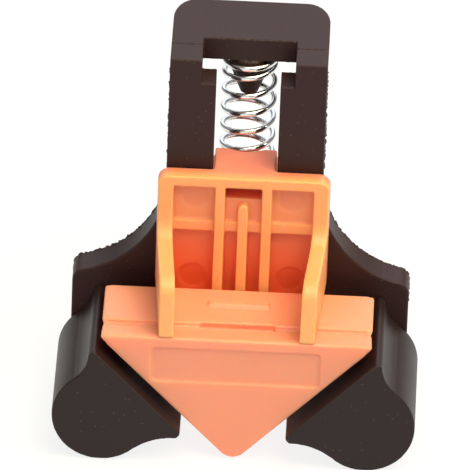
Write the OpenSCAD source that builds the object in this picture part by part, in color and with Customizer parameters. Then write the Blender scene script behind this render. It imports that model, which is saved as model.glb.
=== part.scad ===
// Spring corner clamp, standing on its jaws with the palm end up.
// Each piece is drawn lying down (x across, y along the slide, z from the plate toward the jaw tips)
// and then stood up by stand().

/* [Frame] */
// thickness of the slotted plate
plate_t = 8.6; // [6:0.1:10]
// width over the two rails
rail_w = 39; // [34:0.2:44]
// height of the palm end above the jaws' lowest line
body_len = 93.7; // [86:0.1:110]
// width over the wings
wing_w = 84; // [80:0.2:92]
// height of the wings' upper edge
wing_top = 33.2; // [30:0.1:38]
// radius of the hollow curve from rail to wing
flare_r = 25.5; // [20:0.5:30]
// radius of the wings' outer corners
wing_corner_r = 3; // [1:0.5:5]
// width of the slide slot
slot_w = 16; // [14:0.1:18]
// height of the slot's lower end
slot_low = 38; // [34:0.5:40]

/* [Palm flange] */
// thickness of the palm flange
palm_t = 6; // [4:0.5:9]
// how far the flange stands out behind the plate
palm_out = 24.9; // [22:0.1:32]
// sideways radius of the flange's free corners
palm_r = 6; // [3:0.5:8]
// front to back radius of the flange's free corners
palm_deep_r = 10; // [4:0.5:12]
// width of the joint line between flange and plate
joint_w = 0.4; // [0.2:0.1:0.8]
// width of the notch at the flange's root
notch_w = 23.2; // [20:0.2:28]
// depth of the notch behind the plate
notch_in = 4; // [3:0.1:6]

/* [Spring] */
// outside diameter of the spring
spring_d = 14.2; // [12:0.1:14.6]
// wire diameter
wire_d = 1.5; // [1:0.1:1.8]
// distance of the spring's axis behind the plate
spring_back = 8.6; // [8.4:0.1:10.5]
// length of the tapered peg inside the spring
peg_len = 10.7; // [6:0.1:13]
// length of the peg's straight root
peg_root = 2.5; // [1:0.1:4]

/* [Jaws] */
// radius of the round boss of a jaw
jaw_r = 12.2; // [10:0.1:14]
// height of the jaws above the plate
jaw_h = 36; // [30:0.5:44]
// distance between the two jaw pivots
pivot_span = 65.6; // [62:0.2:72]
// distance from the pivot to the clamping face
pad_reach = 11.22; // [10:0.01:12]
// length of the clamping face from the pivot toward the middle
pad_in = 17.2; // [15:0.1:18]
// length of the clamping face from the pivot outward
pad_outer = 14.4; // [13.5:0.1:16]
// thickness of the pad's ends
pad_t = 2.2; // [1.6:0.1:3]
// radius of the hollow flank toward the middle
flank_in_r = 16; // [12:0.5:20]
// radius of the hollow flank on the outside
flank_out_r = 9; // [7:0.5:11]
// shank diameter of the pivot screws
pivot_d = 5; // [4:0.1:6]

/* [Wedge] */
// gap between wedge and jaw when closed
closed_gap = 2.5; // [2:0.1:4]
// height of the wedge's rear wall above the jaws' lowest line
wedge_rear = 33.4; // [31:0.1:34]
// radius of the wedge's tip
tip_r = 4; // [3.8:0.1:6]
// height of the wedge's near face above the plate
wedge_h = 33; // [28:0.5:35]
// height of the wedge's inner side above the plate
wedge_low = 6.6; // [6:0.1:8]
// wall thickness of the hollow wedge
wedge_wall = 3; // [2:0.1:4]
// depth of the bare label panel
label_in = 0.6; // [0.3:0.1:1]

/* [Carriage] */
// width of the tray
tray_w = 43; // [40:0.2:46]
// height of the tray's upper end
tray_top = 63.9; // [60:0.1:66]
// height of the tray's rim above the plate
rim_h = 5.3; // [4.8:0.1:5.8]
// width of the side rims
rim_w = 3.8; // [3:0.1:5]
// width of the rear rim
rear_rim = 2.7; // [2:0.1:4]
// height of the cheeks' upper edge
cheek_top = 47.5; // [45:0.5:49]
// radius of the cheeks' two curves
cheek_r = 5; // [3:0.5:7]
// how much lower the cheeks are at their upper edge than at the wedge
cheek_drop = 3.2; // [0:0.1:5]
// height of the cross bar in the tray
bar_y = 49.6; // [49.5:0.1:52]
// how far the cheeks lean inward over their height
cheek_lean = 2.3; // [0:0.1:4]
// radius of the four ejector marks in the floor
mark_r = 3.4; // [2:0.1:4]
// thickness of a rib
rib_t = 2.5; // [1.5:0.1:3]
// distance of the outer ribs from the centre
rib_x = 5.8; // [5:0.1:7]

/* [Finger grip] */
// how far the grip's flange stands out behind the plate
grip_out = 20.9; // [18:0.1:28]
// width of the grip's flange
grip_w = 38.6; // [34:0.2:44]
// height of the grip flange's upper face
grip_top = 50; // [47:0.5:51]
// thickness of the grip's flange
grip_t = 5; // [4:0.5:6]
// depth of the pocket that takes the spring's lower end
pocket_deep = 4.2; // [3:0.1:6]
// how far the neck's upper lip stands out behind the plate
lip_out = 2.6; // [2:0.1:5]

/* [Screws] */
// shank diameter of the grip and wedge screws
screw_d = 3; // [2.5:0.1:3.5]
// length of a grip screw
grip_screw_len = 12; // [10:0.5:13]
// length of a wedge screw
wedge_screw_len = 16; // [12:0.5:18]
// head thickness of the grip and wedge screws
screw_head_t = 2; // [1.6:0.1:2.4]
// head diameter of the grip and wedge screws
screw_head_d = 5.4; // [5:0.1:6]

/* [Fits] */
// gap between pieces that slide past each other
slide_gap = 0.3; // [0.3:0.05:0.6]
// radial play of the pivot screws in the plate
pivot_play = 0.05; // [0.02:0.01:0.1]
// radial play of the spring in its pocket
pocket_play = 0.4; // [0.3:0.05:0.6]

/* [Hidden] */
$fn = 64;
eps = 0.01;
root2 = sqrt(2);
rail_half = rail_w / 2;
wing_half = wing_w / 2;
pivot_x = pivot_span / 2;
pivot_y = jaw_r;
lug_r = wing_half - pivot_x;
palm_low = body_len - palm_t;
palm_z = plate_t + palm_out;
spring_z = plate_t + spring_back;
spring_r = spring_d / 2;
peg_r = spring_r - wire_d - 0.3;
pocket_r = spring_r + pocket_play;
pocket_floor = grip_top + 0.8;
pocket_top = pocket_floor + pocket_deep;
lip_back = plate_t + lip_out;
peg_tip_r = peg_r * 0.4;
flare_y = wing_top + sqrt(flare_r * flare_r - pow(rail_half + flare_r - wing_half, 2));
pad_line = pivot_y - pivot_x + pad_reach * root2;
tip_y = pad_line + closed_gap * root2;
tip_c = tip_y + tip_r * root2;
wedge_half = wedge_rear - tip_y;
neck_half = slot_w / 2 - slide_gap;
neck_low = slot_low + slide_gap;
neck_back = plate_t + slide_gap;
tray_half = tray_w / 2;
washer_t = 1;
washer_r = 5.5;
head_t = 2.6;
head_r = 4.5;
pivot_in = 16;
block_half = pocket_r + 3;
grip_base_t = 4;
grip_screw_x = 4.2;
grip_screw_y = grip_top - grip_t - 3.6;
grip_screw_r = screw_d / 2;
wedge_screw_x = 9;
wedge_screw_y = wedge_rear - 9.5;
wedge_screw_r = screw_d / 2;
wedge_boss_r = 3.6;
screw_seat = 0.02;
mid_y = (palm_z - jaw_h) / 2;

// stands a lying piece up, centred front to back
module stand() {
  translate([0, -mid_y, 0])
    rotate([90, 0, 0])
      children();
}

// draws a profile in x and z, and runs it along y
module along_y(from, to) {
  translate([0, to, 0])
    rotate([90, 0, 0])
      linear_extrude(to - from)
        children();
}

// draws a profile in y and z, and runs it along x
module along_x(from, to) {
  translate([from, 0, 0])
    rotate([90, 0, 90])
      linear_extrude(to - from)
        children();
}

// a rectangle by its corners
module box2(x0, y0, x1, y1) {
  translate([x0, y0])
    square([x1 - x0, y1 - y0]);
}

// what is cut off to round the corner at the origin, for a solid in the -x -y quarter
module corner_cut(r) {
  difference() {
    box2(-r, -r, eps, eps);
    translate([-r, -r])
      circle(r);
  }
}

module both_sides() {
  children();
  mirror([1, 0, 0])
    children();
}

// what is cut off to round a wing's upper corner, tangent to its side and to the hollow curve
module wing_corner() {
  r = wing_corner_r;
  flare_x = rail_half + flare_r;
  x = wing_half - r;
  y = flare_y - sqrt(pow(flare_r + r, 2) - pow(flare_x - x, 2));
  touch_x = x + r * (flare_x - x) / (flare_r + r);
  difference() {
    box2(touch_x, y, wing_half + 1, y + 3 * r);
    translate([x, y])
      circle(r);
  }
}

// outline of the plate without slot and bores
module plate_outline() {
  difference() {
    union() {
      box2(-rail_half, slot_low, rail_half, body_len);
      box2(-wing_half, pivot_y, wing_half, flare_y);
      both_sides()
        translate([pivot_x, pivot_y])
          circle(lug_r);
    }
    both_sides()
      translate([rail_half + flare_r, flare_y])
        circle(flare_r);
    both_sides()
      wing_corner();
    translate([0, -8])
      circle(30);
  }
}

module body_frame() {
  color([0.1, 0.1, 0.1])
    stand()
      difference() {
        union() {
          translate([0, 0, -plate_t])
            linear_extrude(plate_t)
              difference() {
                plate_outline();
                box2(-slot_w / 2, slot_low, slot_w / 2, body_len);
                box2(-notch_w / 2, palm_low - 0.4, notch_w / 2, body_len + 1);
                both_sides()
                  translate([pivot_x, pivot_y])
                    circle(pivot_d / 2 + pivot_play);
              }
          along_y(palm_low, body_len)
            difference() {
              union() {
                box2(-rail_half, -palm_z + palm_deep_r, rail_half, -plate_t + 1);
                box2(-rail_half + palm_r, -palm_z, rail_half - palm_r, -palm_z + palm_deep_r + 1);
                both_sides()
                  translate([rail_half - palm_r, -palm_z + palm_deep_r])
                    scale([palm_r / palm_deep_r, 1])
                      circle(palm_deep_r);
              }
              box2(-notch_w / 2, -plate_t - notch_in, notch_w / 2, 1);
            }
          translate([0, palm_low + eps, -spring_z])
            rotate([90, 0, 0]) {
              cylinder(h = peg_root + eps, r = peg_r);
              translate([0, 0, peg_root])
                cylinder(h = peg_len - peg_root, r1 = peg_r, r2 = peg_tip_r);
            }
        }
        translate([-rail_half - 1, body_len - joint_w, -plate_t - joint_w / 2])
          cube([rail_w + 2, joint_w + 1, joint_w]);
        translate([-notch_w / 2, palm_low + 1, -plate_t - notch_in])
          cube([notch_w, palm_t, plate_t + notch_in + 1]);
      }
}

// one half of a jaw's outline toward +x: pivot at the origin, clamping face toward +y
module jaw_half(pad_half, flank_r) {
  low = pad_reach - pad_t;
  // centre of the hollow flank, close to the boss and meeting the pad's end
  reach = jaw_r + flank_r + 0.05;
  span = norm([pad_half, low + 0.3]);
  turn = acos((reach * reach + span * span - flank_r * flank_r) / (2 * reach * span));
  a = atan2(low + 0.3, pad_half) - turn;
  difference() {
    union() {
      box2(-1, low, pad_half, pad_reach);
      polygon([
        [-1, 0], [jaw_r * cos(a) - 0.3, jaw_r * sin(a)], [pad_half, low],
        [pad_half - 1, low + 1], [-1, low + 1]
      ]);
    }
    translate([reach * cos(a), reach * sin(a)])
      circle(flank_r);
    translate([pad_half, pad_reach])
      corner_cut(0.8);
  }
}

module jaw_outline() {
  difference() {
    circle(jaw_r);
    box2(-jaw_r, pad_reach - 1, jaw_r, jaw_r + 1);
  }
  jaw_half(pad_in, flank_in_r);
  mirror([1, 0, 0])
    jaw_half(pad_outer, flank_out_r);
}

module jaw_solid() {
  difference() {
    translate([0, 0, slide_gap])
      linear_extrude(jaw_h - slide_gap)
        jaw_outline();
    translate([0, 0, -1])
      cylinder(h = pivot_in + 1.5, r = pivot_d / 2 + screw_seat);
  }
}

module pivot_screw_solid() {
  back = plate_t + washer_t + slide_gap;
  translate([0, 0, -back])
    cylinder(h = back + pivot_in, r = pivot_d / 2);
  translate([0, 0, -back - head_t])
    difference() {
      cylinder(h = head_t, r = head_r);
      translate([-0.6, -head_r * 0.7, -eps])
        cube([1.2, head_r * 1.4, 1]);
      translate([-head_r * 0.7, -0.6, -eps])
        cube([head_r * 1.4, 1.2, 1]);
    }
}

module left_jaw() {
  color([0.12, 0.11, 0.11])
    stand()
      translate([-pivot_x, pivot_y, 0])
        rotate(-45)
          jaw_solid();
}

module right_jaw() {
  color([0.12, 0.11, 0.11])
    stand()
      translate([pivot_x, pivot_y, 0])
        rotate(45)
          mirror([1, 0, 0])
            jaw_solid();
}

module left_pivot_screw() {
  color([0.7, 0.7, 0.72])
    stand()
      translate([-pivot_x, pivot_y, 0])
        pivot_screw_solid();
}

module right_pivot_screw() {
  color([0.7, 0.7, 0.72])
    stand()
      translate([pivot_x, pivot_y, 0])
        pivot_screw_solid();
}

module pivot_washers() {
  color([0.75, 0.75, 0.77])
    stand()
      both_sides()
        translate([pivot_x, pivot_y, -plate_t - washer_t])
          difference() {
            cylinder(h = washer_t, r = washer_r);
            translate([0, 0, -1])
              cylinder(h = washer_t + 2, r = pivot_d / 2 + slide_gap);
          }
}

module compression_spring() {
  color([0.85, 0.86, 0.88])
    stand()
      translate([0, palm_low - slide_gap, -spring_z])
        rotate([90, 0, 0])
          difference() {
            cylinder(h = palm_low - pocket_floor - 2 * slide_gap, r = spring_r);
            translate([0, 0, -1])
              cylinder(h = palm_low - pocket_floor + 2, r = spring_r - wire_d);
          }
}

// outline of the wedge, grown or shrunk by a wall
module wedge_outline(wall) {
  tip = tip_y + wall * root2;
  rear = wedge_rear - wall;
  r = max(tip_r - wall, 0.5);
  c = tip + r * root2;
  polygon([
    [-(rear - tip), rear], [rear - tip, rear],
    [r / root2, c - r / root2], [-r / root2, c - r / root2]
  ]);
  translate([0, c])
    circle(r);
}

// the bare label panel, with rounded corners
module label_panel(w, h, r) {
  box2(-w / 2 + r, 0, w / 2 - r, h);
  box2(-w / 2, r, w / 2, h - r);
  for (x = [r - w / 2, w / 2 - r])
    for (y = [r, h - r])
      translate([x, y])
        circle(r);
}

module wedge_head() {
  seam_z = wedge_h - 8.6;
  bar_z = wedge_low + 6.6;
  color([0.95, 0.42, 0.2])
    stand()
      difference() {
        union() {
          difference() {
            translate([0, 0, wedge_low])
              linear_extrude(wedge_h - wedge_low)
                difference() {
                  wedge_outline(0);
                  both_sides()
                    translate([wedge_half - 1, wedge_rear - 2])
                      square([2, 3]);
                }
            translate([0, 0, wedge_low - 1])
              linear_extrude(wedge_h - wedge_low - wedge_wall + 1)
                wedge_outline(wedge_wall);
          }
          both_sides()
            translate([wedge_screw_x, wedge_screw_y, wedge_low])
              cylinder(h = wedge_h - wedge_low - 1, r = wedge_boss_r);
          translate([-7.5, wedge_rear - 1, bar_z])
            cube([15, 1.8, 2.8]);
        }
        // hollow of the rear wall, deepest at the seam
        along_x(-wedge_half, wedge_half)
          polygon([
            [wedge_rear + 0.1, seam_z], [wedge_rear - 1.2, seam_z],
            [wedge_rear - 0.9, seam_z + 1.2], [wedge_rear + 0.1, wedge_h - 0.6]
          ]);
        translate([-9.3, wedge_rear - 1.9, seam_z - 0.6])
          cube([18.6, 2.1, 1.4]);
        translate([0, wedge_rear - 12.2, wedge_h - label_in])
          linear_extrude(1)
            label_panel(42, 9.4, 1.3);
        both_sides()
          translate([wedge_screw_x, wedge_screw_y, wedge_low - 1])
            cylinder(h = wedge_screw_len - 1, r = wedge_screw_r + screw_seat);
      }
}

// what is cut off to round a corner of a given angle, its upper side along -x;
// the circle stands a little proud of both sides, so that it crosses them cleanly
module cheek_corner(r, angle) {
  run = r / tan(angle / 2);
  proud = 2 * eps;
  difference() {
    polygon([[-run, eps], [2 * eps, eps], [eps - run * cos(angle), -run * sin(angle)], [-run, -r]]);
    translate([-run, -r])
      circle(r + proud);
  }
}

// side view of a tray side: low rim, hollow curve, tall cheek
module cheek_profile() {
  slope = atan2(cheek_drop, cheek_top - wedge_rear);
  difference() {
    union() {
      box2(wedge_rear, slide_gap, tray_top, rim_h);
      polygon([
        [wedge_rear, slide_gap], [cheek_top, slide_gap],
        [cheek_top, wedge_h - cheek_drop], [wedge_rear, wedge_h]
      ]);
      difference() {
        box2(cheek_top - eps, rim_h - eps, cheek_top + cheek_r, rim_h + cheek_r);
        translate([cheek_top + cheek_r, rim_h + cheek_r])
          circle(cheek_r);
      }
    }
    translate([cheek_top, wedge_h - cheek_drop])
      rotate(-slope)
        cheek_corner(cheek_r, 90 + slope);
  }
}

module tray_side() {
  intersection() {
    along_y(wedge_rear, tray_top)
      polygon([
        [tray_half - rim_w, 0], [tray_half, 0],
        [tray_half - cheek_lean, wedge_h + 1], [tray_half - cheek_lean - rim_w, wedge_h + 1]
      ]);
    along_x(0, tray_half + 1)
      cheek_profile();
  }
}

module slider_carriage() {
  floor_a = 2.8;
  floor_c = 1.9;
  bar_low = bar_y - 1.4;
  bar_top = bar_y + 1.4;
  inner = tray_half - 1;
  floor_low = wedge_rear - 4;
  mark_in = 0.3;
  color([0.95, 0.42, 0.2])
    stand()
      difference() {
        union() {
          both_sides()
            tray_side();
          translate([-tray_half, tray_top - rear_rim, slide_gap])
            cube([tray_w, rear_rim, rim_h - slide_gap]);
          translate([-inner, bar_top - eps, slide_gap])
            cube([2 * inner, tray_top - bar_top - 1, floor_a - slide_gap]);
          translate([-inner, bar_low, slide_gap])
            cube([2 * inner, bar_top - bar_low, floor_a + 1 - slide_gap]);
          translate([-inner, floor_low, slide_gap])
            cube([2 * inner, bar_low - floor_low + eps, floor_c - slide_gap]);
          for (x = [-rib_x, rib_x])
            translate([x - rib_t / 2, floor_low, slide_gap])
              cube([rib_t, tray_top - 1 - floor_low, rim_h - slide_gap]);
          translate([-rib_t / 2, floor_low, slide_gap])
            cube([rib_t, bar_y + 6.8 - rib_t / 2 - floor_low, rim_h - slide_gap]);
          translate([0, bar_y + 6.8 - rib_t / 2, slide_gap])
            cylinder(h = rim_h - slide_gap, d = rib_t);
          // platform that carries the wedge
          translate([0, 0, slide_gap])
            linear_extrude(wedge_low - slide_gap)
              intersection() {
                wedge_outline(wedge_wall + 1);
                box2(-tray_half, pivot_y + 2, tray_half, floor_low + 1);
              }
          // neck that runs in the slot
          translate([-neck_half, neck_low, -neck_back])
            cube([2 * neck_half, tray_top - neck_low, neck_back + 1]);
          // lip above the grip, hollowed around the spring
          translate([-neck_half, pocket_top + slide_gap, -lip_back])
            cube([2 * neck_half, tray_top - pocket_top - slide_gap, lip_back]);
        }
        translate([0, tray_top + 1, -spring_z])
          rotate([90, 0, 0])
            cylinder(h = tray_top - pocket_floor, r = pocket_r);
        for (x = [-1, 1]) {
          translate([12.1 * x, bar_y + 7.7, floor_a - mark_in])
            cylinder(h = 1, r = mark_r);
          translate([12.1 * x, wedge_rear + 1.1, floor_c - mark_in])
            cylinder(h = 1, r = mark_r);
        }
        both_sides()
          translate([tray_half, tray_top, -1])
            linear_extrude(rim_h + 2)
              corner_cut(3);
        // deep pocket under the rear rim
        translate([-rib_x + rib_t / 2, tray_top - rear_rim - 4, -2])
          cube([2 * rib_x - rib_t, 4, 8]);
        for (x = [-grip_screw_x, grip_screw_x])
          translate([x, grip_screw_y, -neck_back - 1])
            cylinder(h = 8, r = grip_screw_r + screw_seat);
        for (x = [-wedge_screw_x, wedge_screw_x])
          translate([x, wedge_screw_y, 0]) {
            cylinder(h = 10, r = wedge_screw_r + screw_seat);
            cylinder(h = screw_head_t + 1, d = screw_head_d + 0.8);
          }
      }
}

module finger_grip() {
  base_low = neck_low + 0.5;
  flange_low = grip_top - grip_t;
  out = plate_t + grip_out;
  color([0.93, 0.4, 0.19])
    stand()
      difference() {
        union() {
          translate([-block_half, base_low, -neck_back - grip_base_t])
            cube([2 * block_half, pocket_top - base_low, grip_base_t]);
          along_y(flange_low, pocket_top)
            difference() {
              union() {
                translate([0, -spring_z])
                  circle(block_half);
                box2(-block_half, -spring_z, block_half, -neck_back);
              }
              box2(-block_half, -neck_back, block_half, 0);
            }
          along_y(flange_low, grip_top) {
            box2(-grip_w / 2, -out + palm_r, grip_w / 2, -neck_back);
            box2(-grip_w / 2 + palm_r, -out, grip_w / 2 - palm_r, -out + 2 * palm_r);
            both_sides()
              translate([grip_w / 2 - palm_r, -out + palm_r])
                circle(palm_r);
          }
        }
        translate([0, pocket_top + 1, -spring_z])
          rotate([90, 0, 0])
            cylinder(h = pocket_deep + 1, r = pocket_r);
        for (x = [-grip_screw_x, grip_screw_x])
          translate([x, grip_screw_y, -neck_back - grip_base_t - 1])
            cylinder(h = 8, r = grip_screw_r + screw_seat);
      }
}

module grip_screws() {
  color([0.7, 0.7, 0.72])
    stand()
      for (x = [-grip_screw_x, grip_screw_x])
        translate([x, grip_screw_y, -neck_back - grip_base_t - screw_head_t]) {
          cylinder(h = screw_head_t, d = screw_head_d);
          cylinder(h = grip_screw_len, r = grip_screw_r);
        }
}

module wedge_screws() {
  color([0.7, 0.7, 0.72])
    stand()
      for (x = [-wedge_screw_x, wedge_screw_x])
        translate([x, wedge_screw_y, slide_gap * 2]) {
          cylinder(h = screw_head_t + 0.4, d = screw_head_d);
          cylinder(h = wedge_screw_len, r = wedge_screw_r);
        }
}

body_frame();
compression_spring();
pivot_washers();
slider_carriage();
wedge_head();
finger_grip();
grip_screws();
wedge_screws();
left_jaw();
left_pivot_screw();
right_jaw();
right_pivot_screw();
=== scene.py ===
import math

import bmesh
import bpy
from mathutils import Matrix, Quaternion, Vector


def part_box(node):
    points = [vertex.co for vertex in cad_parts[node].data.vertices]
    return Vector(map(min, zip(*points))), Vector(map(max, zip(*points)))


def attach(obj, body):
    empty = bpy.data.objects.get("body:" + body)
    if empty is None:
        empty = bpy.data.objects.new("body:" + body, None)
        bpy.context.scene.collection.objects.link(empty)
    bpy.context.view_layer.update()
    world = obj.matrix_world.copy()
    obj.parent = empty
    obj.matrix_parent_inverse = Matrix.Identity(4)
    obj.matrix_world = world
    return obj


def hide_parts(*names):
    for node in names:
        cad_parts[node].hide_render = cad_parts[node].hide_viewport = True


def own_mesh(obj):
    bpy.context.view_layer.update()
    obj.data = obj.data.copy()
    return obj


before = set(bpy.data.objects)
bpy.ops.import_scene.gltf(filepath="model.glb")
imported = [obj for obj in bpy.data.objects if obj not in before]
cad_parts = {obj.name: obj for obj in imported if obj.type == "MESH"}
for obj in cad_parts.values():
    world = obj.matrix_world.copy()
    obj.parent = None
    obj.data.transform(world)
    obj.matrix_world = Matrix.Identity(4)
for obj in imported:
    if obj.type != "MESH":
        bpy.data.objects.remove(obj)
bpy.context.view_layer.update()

MM = 0.001

# camera: the clamp stands on its jaws, seen from in front and above
CAMERA_ELEVATION = math.radians(28.5)
CAMERA_AZIMUTH = math.radians(0.9)
CAMERA_ROLL = math.radians(2.2)
CAMERA_DISTANCE = 3000 * MM
CAMERA_AIM = Vector((-1.85 * MM, 1.25 * MM, 45.3 * MM))
CAMERA_REACH = 20.0
FRAME_WIDTH = 116.9 * MM
SENSOR_WIDTH = 36.0

# floor and light
FLOOR_SIZE = 6.0
FLOOR_DROP = 0.2 * MM
ROOM_LIGHT = 0.28
PANEL_AIM = Vector((0, 0, 50 * MM))

# coil of the spring, with its turns counted from the upper end
WIRE_D = 1.5 * MM
COIL_PITCH = 5.0 * MM
CLOSED_TURNS = 0.9
CLOSED_PITCH = 1.6 * MM
NEAR_TURN = 0.2
COIL_STEPS = 48
WIRE_SIDES = 16

# copies of the solids: points this close are one, faces this level are one
MERGED = 0.002 * MM
LEVEL = math.radians(1.0)

# edges that stay creased in the shading, in degrees
FASTENER_CREASE = 32
MOULDING_CREASE = 40
WIRE_CREASE = 60

# rounding of the fasteners' edges
FASTENER_ROUND = 0.15 * MM
ROUND_STEPS = 2
SHARP_EDGE = math.radians(35)
ROOM_SHARE = 0.42
ROOM_FEET = (0.15, 0.5, 0.85)
OPEN_ROOM = 1.0
LEAST_ROUND = 0.05 * MM
TOUCHING = 0.001 * MM
FACE_WEIGHT = 80

# soft edges of the mouldings: the mesh's grain, and how often it is smoothed
FRAME_GRAIN = 0.2 * MM
MOULDING_GRAIN = 0.25 * MM
FRAME_PASSES = 6
JAW_PASSES = 12
CARRIAGE_PASSES = 9
WEDGE_PASSES = 16
GRIP_PASSES = 12
SMOOTH_STEP = 0.5
MOST_TRIANGLES = 120000

# moulding flash on the frame: where it runs, its grain and its height
FLASH_FROM = 5.0 * MM
FLASH_TO = 30.0 * MM
FLASH_LEAST_TURN = 0.3
FLASH_MOST_TURN = 0.9
FLASH_GRAIN = 0.9 * MM
FLASH_OUTSIDE = 15.0 * MM
FLASH_LOW = 24.0 * MM
FLASH_HIGH = 92.0 * MM
PROUD_HEIGHT = 0.95 * MM
PROUD_LEVEL = 0.25
FLAT_HEIGHT = 0.5 * MM
FLAT_LEVEL = 0.65

# rounder outline of the wedge
OUTLINE_ENDS = 1.6 * MM
OUTLINE_RIM = 2.2 * MM
OUTLINE_PASSES = 45

# sockets of the Mix node for colours
MIX_FIRST = 6
MIX_SECOND = 7
MIX_RESULT = 2

# finishes; the scales of clouds, grain, specks and streaks are waves per metre
NOISE_ROUGHNESS = 0.55
SPECK_CORE = 0.5
EDGE_SAMPLES = 6
EDGE_TURNED = 0.80
EDGE_STRAIGHT = 0.98

BLACK_CLOUD = 90.0
BLACK_LIGHTER = 1.25
BLACK_SHINE = 0.10
GRAIN = 2600.0
GRAIN_DETAIL = 2.0
GRAIN_STRENGTH = 0.12
GRAIN_HEIGHT = 0.06 * MM
DUST = 600.0
DUST_SIZE = 0.09
DUST_SHARE = 0.5
DUST_DULLNESS = 0.2
DUST_COLOUR = (0.20, 0.19, 0.19)
# painted highlight: the edges of the black mouldings are made paler, broken up by noise
EDGE_HIGHLIGHT_NOISE = 500.0
EDGE_HIGHLIGHT_REACH = 0.6 * MM
EDGE_HIGHLIGHT_SHARE = 0.5
EDGE_HIGHLIGHT_COLOUR = (0.10, 0.09, 0.09)

ORANGE_CLOUD = 60.0
ORANGE_DENSER = 0.93
ORANGE_ROUGHNESS = 0.42
ORANGE_SHINE = 0.08
# painted shade in the tray: the orange turns redder between these depths along Y, and a deeper painted
# shadow fills the tray's low end between these heights
TRAY_SHADE_NEAR = -4.0 * MM
TRAY_SHADE_DEEP = 0.6 * MM
TRAY_SHADOW_LOW = 34.0 * MM
TRAY_SHADOW_HIGH = 54.0 * MM
TRAY_SHADE_COLOUR = (0.80, 0.22, 0.13)
TRAY_LOW_SHADOW_COLOUR = (0.80, 0.07, 0.022)

STREAK = 400.0
STREAK_DARKER = 0.9
STREAK_DULLNESS = 0.06


# picking and shaping


def pick_nothing():
    bpy.ops.object.select_all(action="DESELECT")


def pick(piece):
    pick_nothing()
    piece.select_set(True)
    bpy.context.view_layer.objects.active = piece


def keep_modifier(piece, kind, **settings):
    """Adds a modifier and applies it."""
    pick(piece)
    modifier = piece.modifiers.new(kind.lower(), kind)
    for name, value in settings.items():
        setattr(modifier, name, value)
    bpy.ops.object.modifier_apply(modifier=modifier.name)


def settle(piece):
    """Puts a piece's place into its mesh."""
    pick(piece)
    bpy.ops.object.transform_apply(location=True, rotation=True, scale=True)


def smooth(piece, crease):
    pick(piece)
    bpy.ops.object.shade_smooth_by_angle(angle=math.radians(crease))


def copy_of_node(node, name):
    """A piece with a node's own form, its triangles merged into clean faces."""
    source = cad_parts[node]
    piece = source.copy()
    piece.data = source.data.copy()
    piece.name = name
    piece.data.name = name
    piece.parent = None
    piece.matrix_world = Matrix.Identity(4)
    bpy.context.collection.objects.link(piece)
    piece.data.materials.clear()
    pick(piece)
    bpy.ops.object.mode_set(mode="EDIT")
    bpy.ops.mesh.select_all(action="SELECT")
    bpy.ops.mesh.remove_doubles(threshold=MERGED)
    bpy.ops.mesh.dissolve_limited(angle_limit=LEVEL)
    bpy.ops.object.mode_set(mode="OBJECT")
    return piece


def room_beside(loop):
    """How far a face reaches from one of its edges, square to it, before it meets another edge."""
    start = loop.vert.co
    run = loop.link_loop_next.vert.co - start
    along = run.normalized()
    inward = loop.face.normal.cross(along)
    near = (loop, loop.link_loop_next, loop.link_loop_prev)
    room = OPEN_ROOM
    for share in ROOM_FEET:
        foot = start + run * share
        for other in loop.face.loops:
            a = other.vert.co - foot
            b = other.link_loop_next.vert.co - foot
            a_side = a.dot(along)
            b_side = b.dot(along)
            if other in near or a_side * b_side > 0 or a_side == b_side:
                continue
            reach = a.dot(inward) + (b - a).dot(inward) * a_side / (a_side - b_side)
            if reach > TOUCHING:
                room = min(room, reach)
    return room


def round_fastener(piece):
    """Rounds the edges of a screw or washer, less where a face is narrow."""
    mesh = bmesh.new()
    mesh.from_mesh(piece.data)
    weight = mesh.edges.layers.float.new("bevel_weight_edge")
    for edge in mesh.edges:
        if edge.calc_face_angle(0) < SHARP_EDGE:
            continue
        room = ROOM_SHARE * min(room_beside(loop) for loop in edge.link_loops)
        reach = min(FASTENER_ROUND, room)
        if reach > LEAST_ROUND:
            edge[weight] = reach / FASTENER_ROUND
    mesh.to_mesh(piece.data)
    mesh.free()
    keep_modifier(
        piece, "BEVEL", width=FASTENER_ROUND, segments=ROUND_STEPS, limit_method="WEIGHT",
        use_clamp_overlap=False,
    )
    smooth(piece, FASTENER_CREASE)
    keep_modifier(piece, "WEIGHTED_NORMAL", keep_sharp=True, weight=FACE_WEIGHT)


def roughen_rear_edges(piece):
    """Leaves a ragged trace of moulding flash along the edges behind the plate's near face."""
    ragged = bpy.data.textures.new("flash", "CLOUDS")
    ragged.noise_scale = FLASH_GRAIN
    rear = [
        point for point in piece.data.vertices
        if FLASH_FROM < point.co.y < FLASH_TO
        and FLASH_LEAST_TURN < abs(point.normal.y) < FLASH_MOST_TURN
    ]
    proud = {
        point.index for point in rear
        if abs(point.co.x) > FLASH_OUTSIDE and FLASH_LOW < point.co.z < FLASH_HIGH
    }
    flat = {point.index for point in rear} - proud
    for name, points, low_end_shadow_mask, level in (
        ("proud", proud, PROUD_HEIGHT, PROUD_LEVEL),
        ("flat", flat, FLAT_HEIGHT, FLAT_LEVEL),
    ):
        group = piece.vertex_groups.new(name=name)
        group.add(sorted(points), 1.0, "ADD")
        keep_modifier(
            piece, "DISPLACE", texture=ragged, texture_coords="LOCAL", strength=low_end_shadow_mask,
            mid_level=level, vertex_group=name,
        )
    piece.vertex_groups.clear()


def round_wedge_outline(piece):
    """Rounds the wedge's ends and its upper near edge further than its other edges."""
    lowest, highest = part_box("wedge_head")
    outline = piece.vertex_groups.new(name="outline")
    outline.add([
        point.index for point in piece.data.vertices
        if abs(point.co.x) > highest[0] - OUTLINE_ENDS
        or (point.co.y < lowest[1] + OUTLINE_RIM and point.co.z > highest[2] - OUTLINE_RIM)
    ], 1.0, "ADD")
    keep_modifier(
        piece, "SMOOTH", factor=SMOOTH_STEP, iterations=OUTLINE_PASSES, vertex_group="outline")
    piece.vertex_groups.clear()


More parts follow.
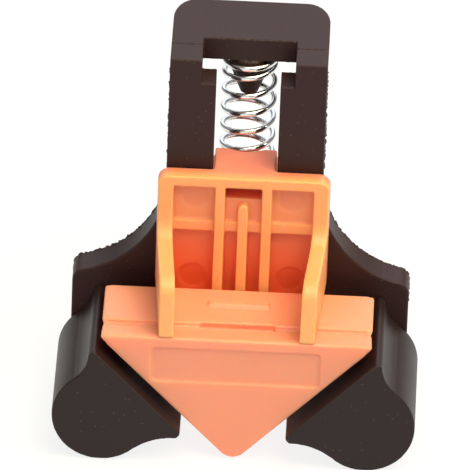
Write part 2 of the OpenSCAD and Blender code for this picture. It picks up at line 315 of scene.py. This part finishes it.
def melt(piece, grain, passes, touch=None):
    """Gives a piece the soft edges of a moulding, by a fine even mesh that is smoothed and thinned."""
    keep_modifier(piece, "REMESH", mode="VOXEL", voxel_size=grain)
    keep_modifier(piece, "SMOOTH", factor=SMOOTH_STEP, iterations=passes)
    if touch:
        touch(piece)
    triangles = 2 * len(piece.data.polygons)
    keep_modifier(piece, "DECIMATE", ratio=min(1.0, MOST_TRIANGLES / triangles))
    smooth(piece, MOULDING_CREASE)


# finishes


def opaque(colour, share=1.0):
    """A colour as a socket takes it, made paler or darker by a share of itself."""
    return (*(part * share for part in colour), 1.0)


class Wire:
    """One socket of a material, with the arithmetic that the finishes use."""

    def __init__(self, finish, socket):
        self.finish = finish
        self.socket = socket

    def _math(self, operation, first, second):
        return self.finish.node("ShaderNodeMath", {"operation": operation}, {0: first, 1: second})

    def __add__(self, other):
        return self._math("ADD", self, other)

    def __radd__(self, other):
        return self._math("ADD", other, self)

    def __sub__(self, other):
        return self._math("SUBTRACT", self, other)

    def __rsub__(self, other):
        return self._math("SUBTRACT", other, self)

    def __mul__(self, other):
        return self._math("MULTIPLY", self, other)

    def __rmul__(self, other):
        return self._math("MULTIPLY", other, self)


class Finish:
    """A material with one shader: what is the same all over comes first, what varies is fed in."""

    def __init__(self, name, **constants):
        self.material = bpy.data.materials.new(name)
        self.material.use_nodes = True
        self.nodes = self.material.node_tree.nodes
        self.links = self.material.node_tree.links
        self.shader = self.nodes["Principled BSDF"]
        for socket, value in constants.items():
            self.shader.inputs[socket.replace("_", " ")].default_value = value

    def node(self, kind, settings=None, inputs=None, output=0):
        made = self.nodes.new(kind)
        for name, value in (settings or {}).items():
            setattr(made, name, value)
        for name, value in (inputs or {}).items():
            self.plug(made.inputs[name], value)
        return Wire(self, made.outputs[output])

    def plug(self, socket, value):
        if isinstance(value, Wire):
            self.links.new(value.socket, socket)
        else:
            socket.default_value = value

    def feed(self, socket, value):
        self.plug(self.shader.inputs[socket], value)

    def place(self):
        return self.node("ShaderNodeTexCoord", output="Object")

    def along(self, axis):
        return self.node("ShaderNodeSeparateXYZ", {}, {"Vector": self.place()}, output=axis)

    def noise(self, scale, detail=3.0):
        return self.node(
            "ShaderNodeTexNoise", {},
            {
                "Vector": self.place(), "Scale": scale, "Detail": detail,
                "Roughness": NOISE_ROUGHNESS,
            },
            output="Fac",
        )

    def blend(self, factor, first, second):
        return self.node(
            "ShaderNodeMix", {"data_type": "RGBA"},
            {"Factor": factor, MIX_FIRST: first, MIX_SECOND: second}, output=MIX_RESULT,
        )

    def ramp(self, value, start, end):
        """0 at start to 1 at end, easing in and out."""
        return self.node(
            "ShaderNodeMapRange", {"interpolation_type": "SMOOTHSTEP"},
            {"Value": value, "From Min": start, "From Max": end},
        )

    def specks(self, scale, size):
        """1 in small scattered grains, 0 between them."""
        distance = self.node(
            "ShaderNodeTexVoronoi", {}, {"Vector": self.place(), "Scale": scale},
            output="Distance",
        )
        return 1.0 - self.ramp(distance, SPECK_CORE * size, size)

    def edges(self, reach):
        """1 along the edges of the form, 0 on the faces between them."""
        rounded = self.node("ShaderNodeBevel", {"samples": EDGE_SAMPLES}, {"Radius": reach})
        straight = self.node("ShaderNodeNewGeometry", output="Normal")
        likeness = self.node(
            "ShaderNodeVectorMath", {"operation": "DOT_PRODUCT"}, {0: rounded, 1: straight},
            output="Value",
        )
        return 1.0 - self.ramp(likeness, EDGE_TURNED, EDGE_STRAIGHT)

    def bump(self, low_end_shadow_mask, strength, distance):
        self.feed("Normal", self.node(
            "ShaderNodeBump", {}, {"Height": low_end_shadow_mask, "Strength": strength, "Distance": distance}))


def dark_moulding(name, colour, roughness, gloss):
    """Black plastic with a fine grain, a few specks of dust and a painted highlight that makes its
    edges a little paler.
    """
    finish = Finish(name, Specular_IOR_Level=gloss)
    cloud = finish.noise(BLACK_CLOUD)
    grain = finish.noise(GRAIN, GRAIN_DETAIL)
    dust = finish.specks(DUST, DUST_SIZE)
    # painted highlight along the edges, broken up by noise
    edge_highlight = finish.edges(EDGE_HIGHLIGHT_REACH) * finish.noise(EDGE_HIGHLIGHT_NOISE)
    base = finish.blend(cloud, opaque(colour), opaque(colour, BLACK_LIGHTER))
    base = finish.blend(DUST_SHARE * dust, base, opaque(DUST_COLOUR))
    base = finish.blend(EDGE_HIGHLIGHT_SHARE * edge_highlight, base, opaque(EDGE_HIGHLIGHT_COLOUR))
    finish.feed("Base Color", base)
    finish.feed("Roughness", roughness + BLACK_SHINE * (cloud - 0.5) + DUST_DULLNESS * dust)
    finish.bump(grain, GRAIN_STRENGTH, GRAIN_HEIGHT)
    return finish.material


def bright_moulding(name, colour):
    """Orange plastic, with painted shade that makes it redder down in the tray and the slot, and a
    deeper painted shadow at the tray's low end.
    """
    finish = Finish(
        name, Specular_IOR_Level=0.5, Subsurface_Weight=0.7,
        Subsurface_Radius=(1.0, 0.3, 0.1), Subsurface_Scale=5.0 * MM,
    )
    cloud = finish.noise(ORANGE_CLOUD)
    # painted shade: redder down in the tray, with a deeper painted shadow at the tray's low end
    tray_shade_mask = finish.ramp(finish.along("Y"), TRAY_SHADE_NEAR, TRAY_SHADE_DEEP)
    low_end_shadow_mask = finish.ramp(finish.along("Z"), TRAY_SHADOW_LOW, TRAY_SHADOW_HIGH)
    painted_tray_shade = finish.blend(low_end_shadow_mask, opaque(TRAY_LOW_SHADOW_COLOUR), opaque(TRAY_SHADE_COLOUR))
    near = finish.blend(cloud, opaque(colour), opaque(colour, ORANGE_DENSER))
    finish.feed("Base Color", finish.blend(tray_shade_mask, near, painted_tray_shade))
    finish.feed("Roughness", ORANGE_ROUGHNESS + ORANGE_SHINE * (cloud - 0.5))
    return finish.material


def bare_metal(name, colour, roughness):
    """Metal with faint darker and duller streaks."""
    finish = Finish(name, Metallic=1.0)
    streak = finish.noise(STREAK)
    finish.feed("Base Color", finish.blend(streak, opaque(colour), opaque(colour, STREAK_DARKER)))
    finish.feed("Roughness", roughness + STREAK_DULLNESS * streak)
    return finish.material


black_plastic = dark_moulding("black_plastic", (0.024, 0.009, 0.009), roughness=0.46, gloss=0.25)
jaw_plastic = dark_moulding("jaw_plastic", (0.014, 0.006, 0.006), roughness=0.46, gloss=0.31)
orange_plastic = bright_moulding("orange_plastic", (0.85, 0.305, 0.18))
orange_thin_wall = bright_moulding("orange_thin_wall", (0.86, 0.385, 0.15))
spring_chrome = bare_metal("spring_chrome", (0.86, 0.87, 0.88), roughness=0.10)
fastener_steel = bare_metal("fastener_steel", (0.58, 0.58, 0.60), roughness=0.28)


def dress(piece, material, body, node):
    """Gives a piece its finish and its body, and hides the node that it stands for."""
    piece.data.materials.clear()
    piece.data.materials.append(material)
    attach(piece, body)
    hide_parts(node)


# black frame and jaws

moulded_frame = copy_of_node("body_frame", "moulded_frame")
melt(moulded_frame, FRAME_GRAIN, FRAME_PASSES, roughen_rear_edges)
dress(moulded_frame, black_plastic, "frame", "body_frame")

for side in ("left", "right"):
    jaw = copy_of_node(f"{side}_jaw", f"{side}_clamping_jaw")
    melt(jaw, MOULDING_GRAIN, JAW_PASSES)
    dress(jaw, jaw_plastic, f"{side}_jaw_body", f"{side}_jaw")

# orange carriage, wedge and grip

for node, name, material, passes, touch in (
    ("slider_carriage", "ribbed_carriage", orange_thin_wall, CARRIAGE_PASSES, None),
    ("wedge_head", "right_angle_wedge", orange_plastic, WEDGE_PASSES, round_wedge_outline),
    ("finger_grip", "finger_flange", orange_plastic, GRIP_PASSES, None),
):
    piece = copy_of_node(node, name)
    melt(piece, MOULDING_GRAIN, passes, touch)
    dress(piece, material, "slider", node)

# screws and washers

for node, name, body in (
    ("left_pivot_screw", "left_jaw_screw", "left_jaw_body"),
    ("right_pivot_screw", "right_jaw_screw", "right_jaw_body"),
    ("pivot_washers", "jaw_washers", "frame"),
    ("grip_screws", "grip_fixing_screws", "slider"),
    ("wedge_screws", "wedge_fixing_screws", "slider"),
):
    piece = copy_of_node(node, name)
    round_fastener(piece)
    dress(piece, fastener_steel, body, node)


# spring


def coil_drop(turn, turns):
    """How far the wire's centre lies below its upper end, close-wound at both ends."""
    upper = min(turn, CLOSED_TURNS) * CLOSED_PITCH
    open_turns = min(max(turn - CLOSED_TURNS, 0), turns - 2 * CLOSED_TURNS)
    lower = max(turn - (turns - CLOSED_TURNS), 0) * CLOSED_PITCH
    return upper + open_turns * COIL_PITCH + lower


def wire_spring(lowest, highest):
    """The coil, from a round end face extruded step by step along its turns."""
    middle = (lowest + highest) / 2
    radius = (highest.x - lowest.x) / 2 - WIRE_D / 2
    top = highest.z - WIRE_D / 2
    drop = highest.z - lowest.z - WIRE_D
    turns = 2 * CLOSED_TURNS + (drop - 2 * CLOSED_TURNS * CLOSED_PITCH) / COIL_PITCH
    start = 2 * math.pi * NEAR_TURN - math.pi / 2
    pick_nothing()
    bpy.ops.mesh.primitive_circle_add(
        vertices=WIRE_SIDES, radius=WIRE_D / 2, fill_type="NGON",
        location=(middle.x + radius * math.cos(start), middle.y + radius * math.sin(start), top),
        rotation=(math.pi / 2, 0, start),
    )
    coil = bpy.context.active_object
    coil.name = "wire_spring"
    settle(coil)
    bpy.ops.object.mode_set(mode="EDIT")
    bpy.ops.mesh.select_all(action="SELECT")
    steps = int(turns * COIL_STEPS)
    for step in range(steps):
        turn = turns * step / steps
        next_turn = turns * (step + 1) / steps
        lower = coil_drop(next_turn, turns) - coil_drop(turn, turns)
        bpy.ops.mesh.extrude_region_move(TRANSFORM_OT_translate={"value": (0, 0, -lower)})
        bpy.ops.transform.rotate(
            value=2 * math.pi * (next_turn - turn), orient_axis="Z",
            center_override=(middle.x, middle.y, 0),
        )
    bpy.ops.mesh.select_all(action="SELECT")
    bpy.ops.mesh.normals_make_consistent(inside=False)
    bpy.ops.object.mode_set(mode="OBJECT")
    smooth(coil, WIRE_CREASE)
    return coil


lowest, highest = (Vector(corner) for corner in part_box("compression_spring"))
coil = wire_spring(lowest, highest)
dress(coil, spring_chrome, "frame", "compression_spring")
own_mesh(coil)


# floor, light and camera


def pale_floor():
    """A floor that shines a little, so that it stays nearly white around soft shadows."""
    pick_nothing()
    bpy.ops.mesh.primitive_plane_add(size=FLOOR_SIZE, location=(0, 0, -FLOOR_DROP))
    painted_tray_shade = bpy.context.active_object
    painted_tray_shade.name = "pale_floor"
    finish = Finish(
        "pale_floor", Base_Color=(0.12, 0.12, 0.12, 1), Roughness=0.9,
        Emission_Color=(1, 1, 1, 1), Emission_Strength=0.85,
    )
    painted_tray_shade.data.materials.append(finish.material)
    settle(painted_tray_shade)


def soft_panel(name, place, size, power, tint):
    lamp = bpy.data.lights.new(name, "AREA")
    lamp.color = tint
    lamp.shape = "SQUARE"
    lamp.size = size
    lamp.energy = power
    panel = bpy.data.objects.new(name, lamp)
    panel.location = place
    panel.rotation_euler = (PANEL_AIM - Vector(place)).to_track_quat("-Z", "Y").to_euler()
    bpy.context.collection.objects.link(panel)


def white_room():
    world = bpy.data.worlds.new("white_room")
    world.use_nodes = True
    background = world.node_tree.nodes["Background"]
    background.inputs["Color"].default_value = (1, 1, 1, 1)
    background.inputs["Strength"].default_value = ROOM_LIGHT
    bpy.context.scene.world = world


def photo_camera():
    """A camera far away with a long lens, turned a little in its picture."""
    data = bpy.data.cameras.new("photo_camera")
    data.sensor_width = SENSOR_WIDTH
    data.sensor_fit = "HORIZONTAL"
    data.lens = SENSOR_WIDTH * CAMERA_DISTANCE / FRAME_WIDTH
    data.clip_end = CAMERA_REACH
    camera = bpy.data.objects.new("photo_camera", data)
    level = math.cos(CAMERA_ELEVATION)
    back = Vector((
        math.sin(CAMERA_AZIMUTH) * level,
        -math.cos(CAMERA_AZIMUTH) * level,
        math.sin(CAMERA_ELEVATION),
    ))
    camera.location = CAMERA_AIM + back * CAMERA_DISTANCE
    turn = (-back).to_track_quat("-Z", "Y") @ Quaternion((0, 0, 1), CAMERA_ROLL)
    camera.rotation_euler = turn.to_euler()
    bpy.context.collection.objects.link(camera)
    bpy.context.scene.camera = camera


pale_floor()
white_room()
soft_panel("key_panel", place=(0.34, -0.30, 1.0), size=1.10, power=23, tint=(1.0, 0.90, 0.60))
soft_panel("back_panel", place=(0, 1.3, 0.75), size=1.2, power=4.8, tint=(0.84, 0.93, 1.0))
soft_panel("front_panel", place=(-0.4, -1.0, 0.4), size=0.8, power=1.3, tint=(1, 1, 1))
photo_camera()
bpy.context.scene.view_settings.view_transform = "Standard"
